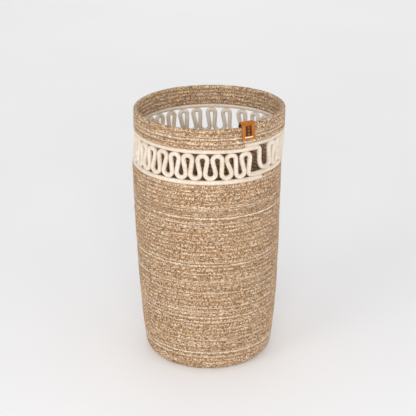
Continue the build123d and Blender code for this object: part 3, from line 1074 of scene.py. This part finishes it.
def lower_ring_line(wave_start):
    """One turn of cotton on the wall, and on from there to where the wave starts."""
    start_turn = COIL_END_TURN + (COIL_END_ROUND - FRONT_BOTTOMS[0]) / 360 + 1
    ring = coil_points(fine_turns(COIL_END_TURN, RING_TURN))
    lead = np.linspace(0, 1, LEAD_POINTS)[:, None]
    into = coil_points(np.linspace(RING_TURN, start_turn, LEAD_POINTS))
    into = into * (1 - lead) + (into + (wave_start - into[-1])) * lead
    return smooth_line(np.concatenate([ring, into[1:]]), 4)


def upper_ring_line(wave_end):
    """From the end of the wave once round to where the jute of the rim starts."""
    end_round = np.degrees(np.arctan2(wave_end[1], wave_end[0])) + 90
    start_turn = COIL_END_TURN + (COIL_END_ROUND - end_round) / 360
    upper = coil_points(fine_turns(start_turn, RIM_START_TURN), BAND_RISE)
    ease = np.exp(-np.linspace(0, EASE_RATE, len(upper)))[:, None]
    return upper + ease * (wave_end - upper[0])


def make_cotton(material):
    """Two rings and the wave between them, one continuous cotton cord."""
    wave = wave_points()
    for name, line, wrap, caps, node in (
        ("lower_cotton_cord", lower_ring_line(wave[0]), np.pi / 2, (True, False), "lower_cotton_ring"),
        ("wave_cotton_cord", wave, np.pi, (False, False), "cotton_wave"),
        ("upper_cotton_cord", upper_ring_line(wave[-1]), np.pi / 2, (False, True), "upper_cotton_ring"),
    ):
        piece = braided_piece(name, line, CORD_R, COTTON, 0.0, wrap, caps)
        finish_piece(piece, material, "cotton_cord", node)


def make_thread(material):
    """Zigzag sewing thread on both faces of every seam."""
    stretches = (
        ("base", BASE_START + 0.1, -1.0, 0.0),
        ("wall_1", -1.0, 17.0, 0.0),
        ("wall_2", 17.0, 34.0, 0.0),
        ("wall_3", 34.0, COIL_END_TURN, 0.0),
        ("rim", RIM_START_TURN - 1, RIM_END_TURN - 1, BAND_RISE),
    )
    for name, first, last, rise in stretches:
        for side, word in ((1, "outside"), (-1, "inside")):
            piece = seam_thread(f"seam_thread_{name}_{word}", first, last, rise, side)
            finish_piece(piece, material, "white_thread")


def make_label():
    """Folded leather label with its lining, pressed panel and bar stitches."""
    leather = sheet_grid("label_leather", OUTER_BEND, LEATHER, True)
    finish_piece(leather, leather_material(), "tan_leather", "leather_label")
    lining = sheet_grid("label_lining_felt", LINING / 2, LINING, False)
    finish_piece(lining, lining_material(), "dark_lining", "label_lining")
    mark = pressed_mark("label_panel")
    finish_piece(mark, burnt_material(), "burnt_leather", "label_mark")
    thread = thread_material("white_thread", rgb(250, 246, 238), rgb(214, 204, 190))
    for name, front in (("front_bar_stitch", True), ("back_bar_stitch", False)):
        for piece in bar_stitch(name, front):
            finish_piece(piece, thread, "white_thread", "label_stitch")


# ---- studio
HORIZON_LIGHT = 1.24  # strength of the sky up to about 20 degrees
ZENITH_LIGHT = 0.24  # strength of the sky overhead
LOW_SKY = 0.35  # upward part of the way where the sky starts to darken
HIGH_SKY = 0.95  # and where it is as dark as overhead


def studio_sky():
    """Soft light all round that is brighter near the horizon than overhead."""
    world = bpy.data.worlds.new("studio_sky")
    world.use_nodes = True
    tree = world.node_tree
    way = tree.nodes.new("ShaderNodeTexCoord")
    parts = tree.nodes.new("ShaderNodeSeparateXYZ")
    fall = tree.nodes.new("ShaderNodeMapRange")
    fall.interpolation_type = "SMOOTHSTEP"
    fall.inputs["From Min"].default_value = LOW_SKY
    fall.inputs["From Max"].default_value = HIGH_SKY
    fall.inputs["To Min"].default_value = HORIZON_LIGHT
    fall.inputs["To Max"].default_value = ZENITH_LIGHT
    tree.links.new(way.outputs["Generated"], parts.inputs[0])
    tree.links.new(parts.outputs[2], fall.inputs["Value"])
    sky = tree.nodes["Background"]
    sky.inputs["Color"].default_value = (1.0, 0.995, 0.995, 1.0)
    tree.links.new(fall.outputs[0], sky.inputs["Strength"])
    return world


FLOOR_REACH = 8.0
# Each softbox: name, place, what it faces, size and watts.
SOFTBOXES = (
    ("left_softbox", (-2.5, -2.6, 2.1), (0, 0, 0.25), 1.5, 24.0),
    ("right_softbox", (2.6, -2.4, 2.1), (0, 0, 0.25), 1.5, 8.0),
    ("front_softbox", (0.0, -3.4, 1.75), (0, 0, 0.45), 1.6, 46.0),
    ("back_softbox", (0.0, 3.6, 2.6), (0, 2.6, 0), 3.0, 18.0),
)
CAMERA_PLACE = (0.0, -2.3157, 1.1967)
CAMERA_DOWN = 0.3733  # how far it looks down, in radians
CAMERA_LENS = 111.4  # focal length in mm, on a sensor 36 mm wide


def make_floor():
    """A plain floor, wide enough to reach past every view."""
    far = FLOOR_REACH
    mesh = bpy.data.meshes.new("floor")
    corners = [(-far, -far, 0), (far, -far, 0), (far, far, 0), (-far, far, 0)]
    mesh.from_pydata(corners, [], [(0, 1, 2, 3)])
    floor = add_object("floor", mesh)
    mesh.materials.append(floor_material())


def make_softbox(name, place, target, size, power):
    """A square area light that faces its target."""
    lamp = bpy.data.lights.new(name, "AREA")
    lamp.size = size
    lamp.energy = power
    holder = add_object(name, lamp)
    holder.location = place
    aim = Vector(target) - Vector(place)
    holder.rotation_euler = aim.to_track_quat("-Z", "Y").to_euler()


def make_camera():
    """Camera in front of the hamper, above it and looking down."""
    lens = bpy.data.cameras.new("camera")
    lens.lens = CAMERA_LENS
    lens.sensor_width = 36.0
    camera = add_object("camera", lens)
    camera.location = CAMERA_PLACE
    camera.rotation_euler = (np.pi / 2 - CAMERA_DOWN, 0.0, 0.0)
    bpy.context.scene.camera = camera


def make_studio():
    """Floor, sky, lights and camera."""
    bpy.context.scene.view_settings.view_transform = "Standard"
    make_floor()
    bpy.context.scene.world = studio_sky()
    for softbox in SOFTBOXES:
        make_softbox(*softbox)
    make_camera()


make_studio()
make_jute(jute_material())
make_cotton(cotton_material())
make_thread(thread_material("seam_thread", rgb(206, 170, 128), rgb(150, 110, 70)))
make_label()
